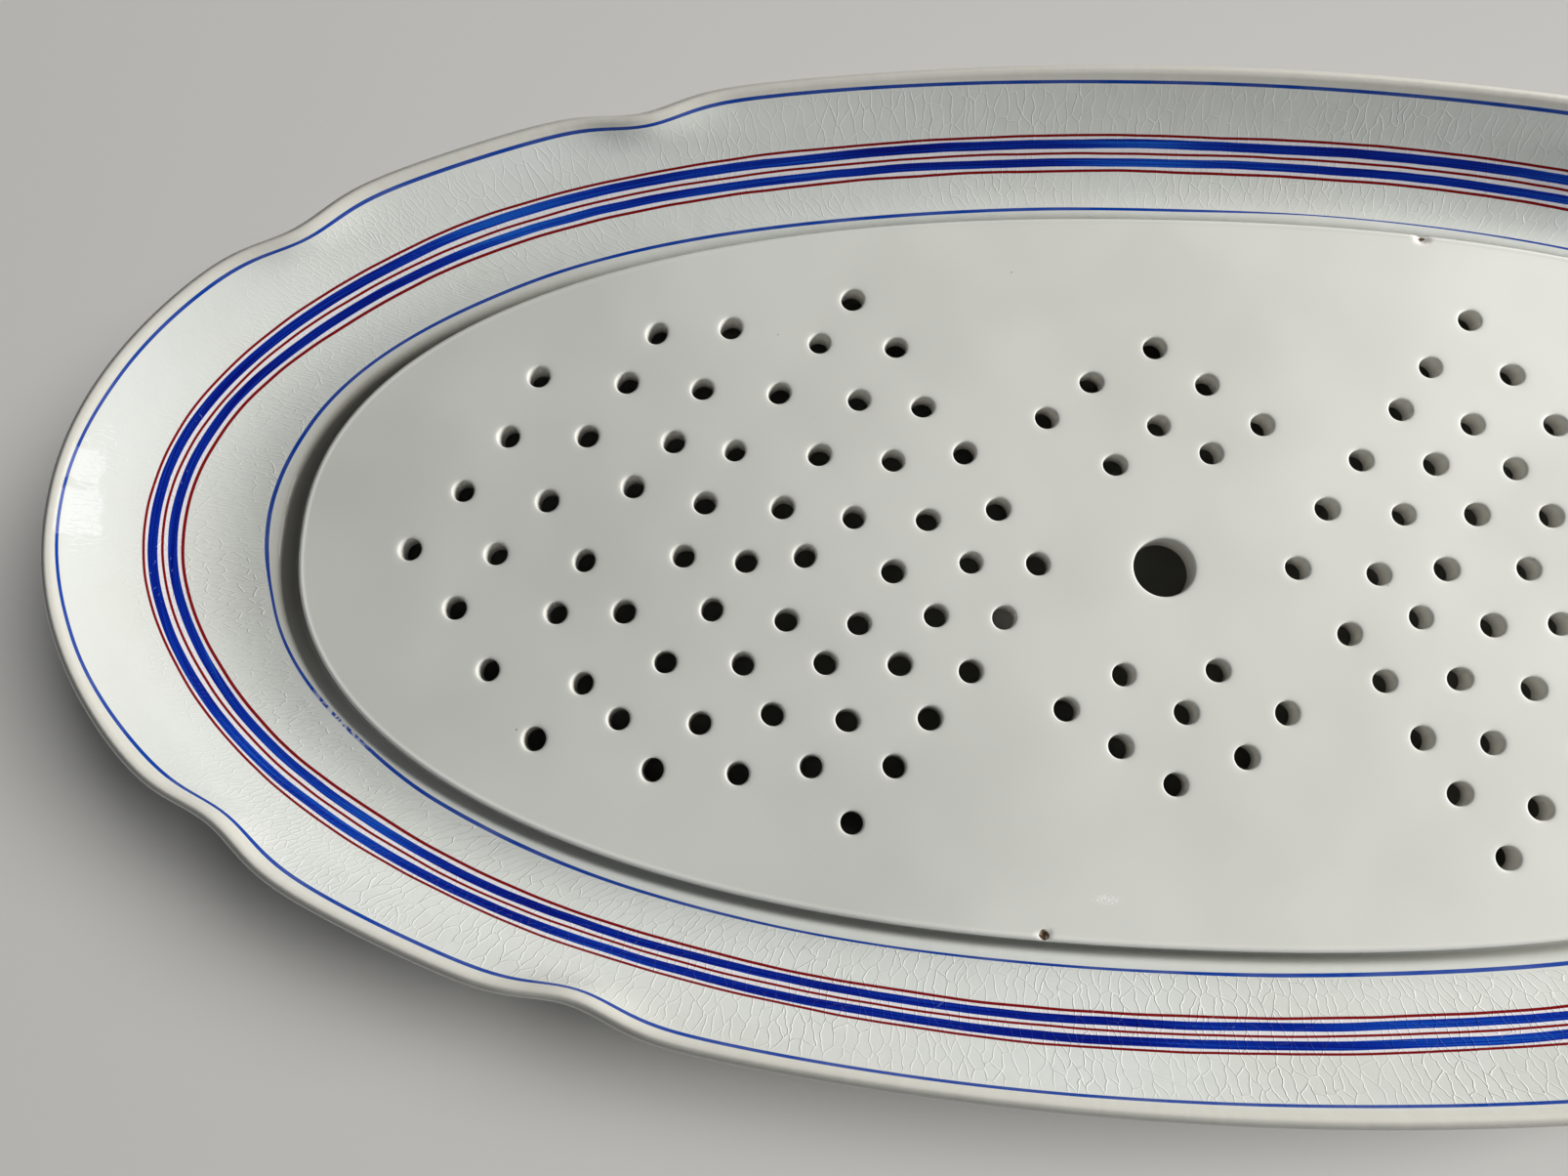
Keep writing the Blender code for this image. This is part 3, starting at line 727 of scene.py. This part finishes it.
down = add("ShaderNodeMath", {0: 0.5, 1: down}, operation="SUBTRACT")
drift = add("ShaderNodeVectorMath", {0: hollow["lean"], "Scale": down}, operation="SCALE")
holes = add("GeometryNodeSetPosition", {"Geometry": holes, "Offset": drift})
walls = add("GeometryNodeJoinGeometry", {0: [holes, lofts["Edge"]]})

# the flat faces fill the loops that the walls leave open
faces = add("GeometryNodeInputMeshEdgeNeighbors")
openEdge = add("ShaderNodeMath", {0: faces, 1: 1.0, 2: 0.1}, operation="COMPARE")
skins = []
for side in (1, -1):
    facing = add("ShaderNodeMath", {0: height, 1: side}, operation="MULTIPLY")
    facing = add("ShaderNodeMath", {0: facing, 1: 0.0}, operation="GREATER_THAN")
    chosen = add("ShaderNodeMath", {0: openEdge, 1: facing}, operation="MULTIPLY")
    loops = add("GeometryNodeMeshToCurve", {"Mesh": walls, "Selection": chosen})
    skin = add("GeometryNodeFillCurve", {"Curve": loops}, mode="TRIANGLES")
    lift = add("ShaderNodeMath", {0: given["Thickness"], 1: side / 2}, operation="MULTIPLY")
    lift = add("ShaderNodeCombineXYZ", {2: lift})
    flat = add("ShaderNodeVectorMath", {0: spot, 1: (1, 1, 0)}, operation="MULTIPLY")
    flat = add("ShaderNodeVectorMath", {0: flat, 1: lift}, operation="ADD")
    skin = add("GeometryNodeSetPosition", {"Geometry": skin, "Position": flat})
    if side < 0:
        skin = add("GeometryNodeFlipFaces", {"Mesh": skin})
    skins.append(skin)
plate = add("GeometryNodeJoinGeometry", {0: [*skins, walls]})
plate = add("GeometryNodeMergeByDistance", {"Geometry": plate, "Distance": 0.00001})

# chips knocked out of the upper edge
jag = add("ShaderNodeTexNoise", {"Vector": spot, "Scale": given["Chip Grain"], "Detail": 2.0})
lost = []
for chip in ("Chip 1", "Chip 2"):
    away = add("ShaderNodeVectorMath", {0: spot, 1: given[chip]}, out="Value", operation="DISTANCE")
    away = add("ShaderNodeMath", {0: away, 1: given[chip + " Radius"]}, operation="DIVIDE")
    away = add("ShaderNodeMath", {0: jag, 1: 0.5, 2: away}, operation="MULTIPLY_ADD")
    lost.append(add("ShaderNodeMapRange", {"Value": away, "From Min": 1.3, "From Max": 0.7},
                    interpolation_type="SMOOTHSTEP"))
gone = add("ShaderNodeMath", {0: lost[0], 1: lost[1]}, operation="MAXIMUM")
for factor in (given["Chip Depth"], -1.0):
    gone = add("ShaderNodeMath", {0: gone, 1: factor}, operation="MULTIPLY")
gone = add("ShaderNodeCombineXYZ", {2: gone})
plate = add("GeometryNodeSetPosition", {"Geometry": plate, "Offset": gone})
plate = add("GeometryNodeSetShadeSmooth", {"Geometry": plate})
plate = add("GeometryNodeRealizeInstances", {"Geometry": plate})
plate = add("GeometryNodeSetMaterial", {"Geometry": plate, "Material": given["Glaze"]})
add("NodeGroupOutput", {0: plate})

drainerLook = {
    "glaze": "#e5e6df",
    "glazeGrey": "#dbdcd5",
    "throat": "#e9e7df",        # painted bounce light: glaze a little paler inside the holes, where light goes to and fro
    "chip": "#8b7660",          # biscuit body, dirty with use
    "chipDark": "#4d4033",
    "chipRim": "#efece6",       # broken glaze round a chip
    "chipRoughness": 0.9,
    "speck": "#6d675a",
    "scuff": (-0.0152, -0.0907),        # where the top is rubbed
    "scuffed": "#faf9f5",
    "roughness": 0.13,
}


def drainerGlaze():
    # Plain white glaze, thicker than on the platter: a smooth gloss with soft grey clouds and a few specks.
    look, paint = drainerLook, tintsOf(drainerLook)
    material, add, shader = makeMaterial("plainWhiteGlaze")
    top = layZ + drainerForm["thick"]
    spot = add("ShaderNodeTexCoord", out="Object")
    # clouds about 6 cm wide
    cloud = add("ShaderNodeTexNoise", {"Vector": spot, "Scale": 17.0, "Detail": 2.0})
    cloud = add("ShaderNodeMapRange", {"Value": cloud, "From Min": 0.4, "From Max": 0.68})
    height = add("ShaderNodeSeparateXYZ", {0: spot}, out=2)
    # painted bounce light: paler glaze below the top surface, in the holes, on the side and underneath
    deep = add("ShaderNodeMapRange", {"Value": height, "From Min": top - 0.0006, "From Max": top - 0.0020})
    # specks about 0.4 mm across, one in every few square centimetres
    dots = add("ShaderNodeTexVoronoi", {"Vector": spot, "Scale": 75.0}, voronoi_dimensions="3D")
    rare = add("ShaderNodeSeparateColor", {0: dots.node.outputs["Color"]})
    rare = add("ShaderNodeMath", {0: rare, 1: 0.45}, operation="GREATER_THAN")
    dots = add("ShaderNodeMapRange", {"Value": dots, "From Min": 0.024, "From Max": 0.014, "To Max": 0.8})
    dots = add("ShaderNodeMath", {0: dots, 1: rare}, operation="MULTIPLY")
    layers = [(cloud, paint["glazeGrey"]), (deep, paint["throat"]), (dots, paint["speck"])]
    # chips, each with a rim of broken glaze
    jag = add("ShaderNodeTexNoise", {"Vector": spot, "Scale": drainerForm["chipGrain"], "Detail": 2.0})
    body = add("ShaderNodeMapRange", {"Value": jag, "From Min": 0.42, "From Max": 0.56})
    body = add("ShaderNodeMix", {0: body, 6: paint["chipDark"], 7: paint["chip"]}, out=2, data_type="RGBA")
    rough = look["roughness"]
    for x, y, radius, stain in drainerForm["chips"]:
        away = add("ShaderNodeVectorMath", {0: spot, 1: (*laid(x, y), top)}, out="Value", operation="DISTANCE")
        away = add("ShaderNodeMath", {0: away, 1: radius}, operation="DIVIDE")
        away = add("ShaderNodeMath", {0: jag, 1: 0.5, 2: away}, operation="MULTIPLY_ADD")
        for begin, full, over in ((1.55, 1.35, paint["chipRim"]), (1.20 * stain, 1.20 * stain - 0.12, body)):
            chip = add("ShaderNodeMapRange", {"Value": away, "From Min": begin, "From Max": full})
            layers.append((chip, over))
        rough = add("ShaderNodeMapRange", {"Value": chip, "To Min": rough, "To Max": look["chipRoughness"]})
    # a pale scuff on the top, some 7 mm long, in flakes of half a millimetre
    rub = add("ShaderNodeVectorMath", {0: spot, 1: (*look["scuff"], top)}, operation="SUBTRACT")
    rub = add("ShaderNodeVectorMath", {0: rub, 1: (270, 820, 400)}, operation="MULTIPLY")
    rub = add("ShaderNodeVectorMath", {0: rub}, out="Value", operation="LENGTH")
    rub = add("ShaderNodeMath", {0: jag, 1: 1.6, 2: rub}, operation="MULTIPLY_ADD")
    rub = add("ShaderNodeMapRange", {"Value": rub, "From Min": 1.95, "From Max": 1.45})
    flakes = add("ShaderNodeTexNoise", {"Vector": spot, "Scale": 2200.0, "Detail": 1.0})
    flakes = add("ShaderNodeMapRange", {"Value": flakes, "From Min": 0.47, "From Max": 0.56})
    rub = add("ShaderNodeMath", {0: rub, 1: flakes}, operation="MULTIPLY")
    layers.append((rub, paint["scuffed"]))
    # relief: slow swells about 4 cm long
    swell = add("ShaderNodeTexNoise", {"Vector": spot, "Scale": 24.0, "Detail": 1.0})
    bump = add("ShaderNodeBump", {"Strength": 1.0, "Distance": 0.0004, "Height": swell})
    colour = paint["glaze"]
    for share, over in layers:
        colour = add("ShaderNodeMix", {0: share, 6: colour, 7: over}, out=2, data_type="RGBA")
    feed(shader, {"Base Color": colour, "Roughness": rough, "Normal": bump})
    return material


centres = holeCentres()
hand = random.Random(drainerForm["seed"])
squash, lean = drainerForm["squash"], drainerForm["lean"]
holePoints = pointObject(
    "holePoints", centres,
    finger=[1.0] + [0.0] * (len(centres) - 1),
    turn=[(0.0, 0.0, hand.uniform(0, 2 * math.pi)) for _ in centres],
    squash=[(1 + hand.uniform(-squash, squash), 1 + hand.uniform(-squash, squash), 1.0) for _ in centres],
    lean=[(hand.uniform(-lean, lean), hand.uniform(-lean, lean), 0.0) for _ in centres])
helpers = {}
for part, hole in (("Mouth", "smallHole"), ("Finger", "fingerHole")):
    *sizes, count = drainerForm[hole]
    helpers[part] = addProfile(hole + "Profile", collarRows(*sizes))
    helpers[part + " Rim"] = addRim(hole + "Rim", evenAngles(count))
helpers["Edge"] = addProfile("edgeProfile", edgeRows())
helpers["Edge Rim"] = addRim("edgeRim", evenAngles(drainerForm["edgeColumns"]))
values = {**helpers, "Thickness": drainerForm["thick"], "Chip Depth": drainerForm["chipDepth"],
          "Chip Grain": drainerForm["chipGrain"], "Glaze": drainerGlaze()}
for chip, (x, y, radius, _) in zip(("Chip 1", "Chip 2"), drainerForm["chips"]):
    values.update({chip: (x, y, halfThick), chip + " Radius": radius})
drainer = bakeTree("piercedDrainer", holePoints, drainerTree, values, list(helpers.values()))
for vertex in drainer.data.vertices:     # laid in the well as the CAD drainer is
    x, y, z = vertex.co
    vertex.co = (*laid(x, y), z + layZ + halfThick)
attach(drainer, "drainer")
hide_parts("drainer")

stageLook = {
    "floor": "#c6c6c4",
    "floorSize": 6.0,
    "floorRoughness": 0.8,
    "world": "#dfe3e8",
    "worldStrength": 0.09,
    "backdrop": 0.75,           # its strength to the camera
    # degrees from +X towards +Y and above the floor, distance; width, height; power; colour
    "lamps": {
        "windowLight": ((13.5, 25.0, 1.2), (0.45, 0.45), 24.6, "#fffdfa"),
        "roomFill": ((325.0, 55.0, 1.6), (1.2, 1.2), 3.4, "#f4f6ff"),
        "paneLeft": ((20.0, 39.0, 1.45), (0.26, 0.34), 0.8, "#f0f6ff"),
        "paneRight": ((3.0, 39.0, 1.45), (0.26, 0.34), 0.8, "#f0f6ff"),
        "floorLight": ((13.5, 52.0, 5.0), (2.6, 2.6), 290.0, "#fffdfa"),
    },
    # the photograph's camera: held low over the platter, a little left of its middle
    "cameraAt": (-0.08835, -0.08012, 0.3577),
    "cameraTurn": (12.271, 2.0525, 2.734),
    "cameraLens": 27.03,
}
bpy.ops.mesh.primitive_plane_add(size=stageLook["floorSize"])
floor = bpy.context.object
floor.name = "floor"
# Matt pale paper: even, with no shine
material, _, shader = makeMaterial("palePaperFloor")
feed(shader, {"Base Color": tint(stageLook["floor"]), "Roughness": stageLook["floorRoughness"]})
floor.data.materials.append(material)

# the window stands close, so the paper has a lamp of its own further off and stays evenly pale
scene = bpy.context.scene
litPieces = bpy.data.collections.new("litPieces")
litFloor = bpy.data.collections.new("litFloor")
for lit, group in ((platter, litPieces), (drainer, litPieces), (floor, litFloor)):
    group.objects.link(lit)
for name, ((azimuth, elevation, distance), size, power, colour) in stageLook["lamps"].items():
    (aside, ahead), (up, level) = sineCosine(azimuth), sineCosine(elevation)
    away = Vector((ahead * level, aside * level, up))
    light = bpy.data.lights.new(name, "AREA")
    light.shape = "RECTANGLE"
    light.size, light.size_y = size
    light.energy = power
    light.color = tint(colour)[:3]
    lamp = bpy.data.objects.new(name, light)
    lamp.location = away * distance
    lamp.rotation_euler = away.to_track_quat("Z", "Y").to_euler()
    # the panes give the window's mirror image, the others the light
    lamp.visible_glossy = name.startswith("pane")
    lamp.visible_diffuse = not lamp.visible_glossy
    lamp.light_linking.receiver_collection = litFloor if name == "floorLight" else litPieces
    scene.collection.objects.link(lamp)

scene.view_settings.view_transform = "Standard"
world = bpy.data.worlds.new("studio")
scene.world = world
world.use_nodes = True
seen = addNode(world.node_tree, "ShaderNodeLightPath")        # only the camera sees the pale backdrop
strength = addNode(world.node_tree, "ShaderNodeMapRange", {
    "Value": seen, "To Min": stageLook["worldStrength"], "To Max": stageLook["backdrop"]})
feed(world.node_tree.nodes["Background"], {"Color": tint(stageLook["world"]), "Strength": strength})

lens = bpy.data.cameras.new("camera")
lens.sensor_fit = "HORIZONTAL"
lens.sensor_width = 36.0
lens.lens = stageLook["cameraLens"]
lens.clip_start = 0.01
camera = bpy.data.objects.new("camera", lens)
camera.location = stageLook["cameraAt"]
camera.rotation_euler = [math.radians(angle) for angle in stageLook["cameraTurn"]]
scene.collection.objects.link(camera)
scene.camera = camera

print("stage: finished")
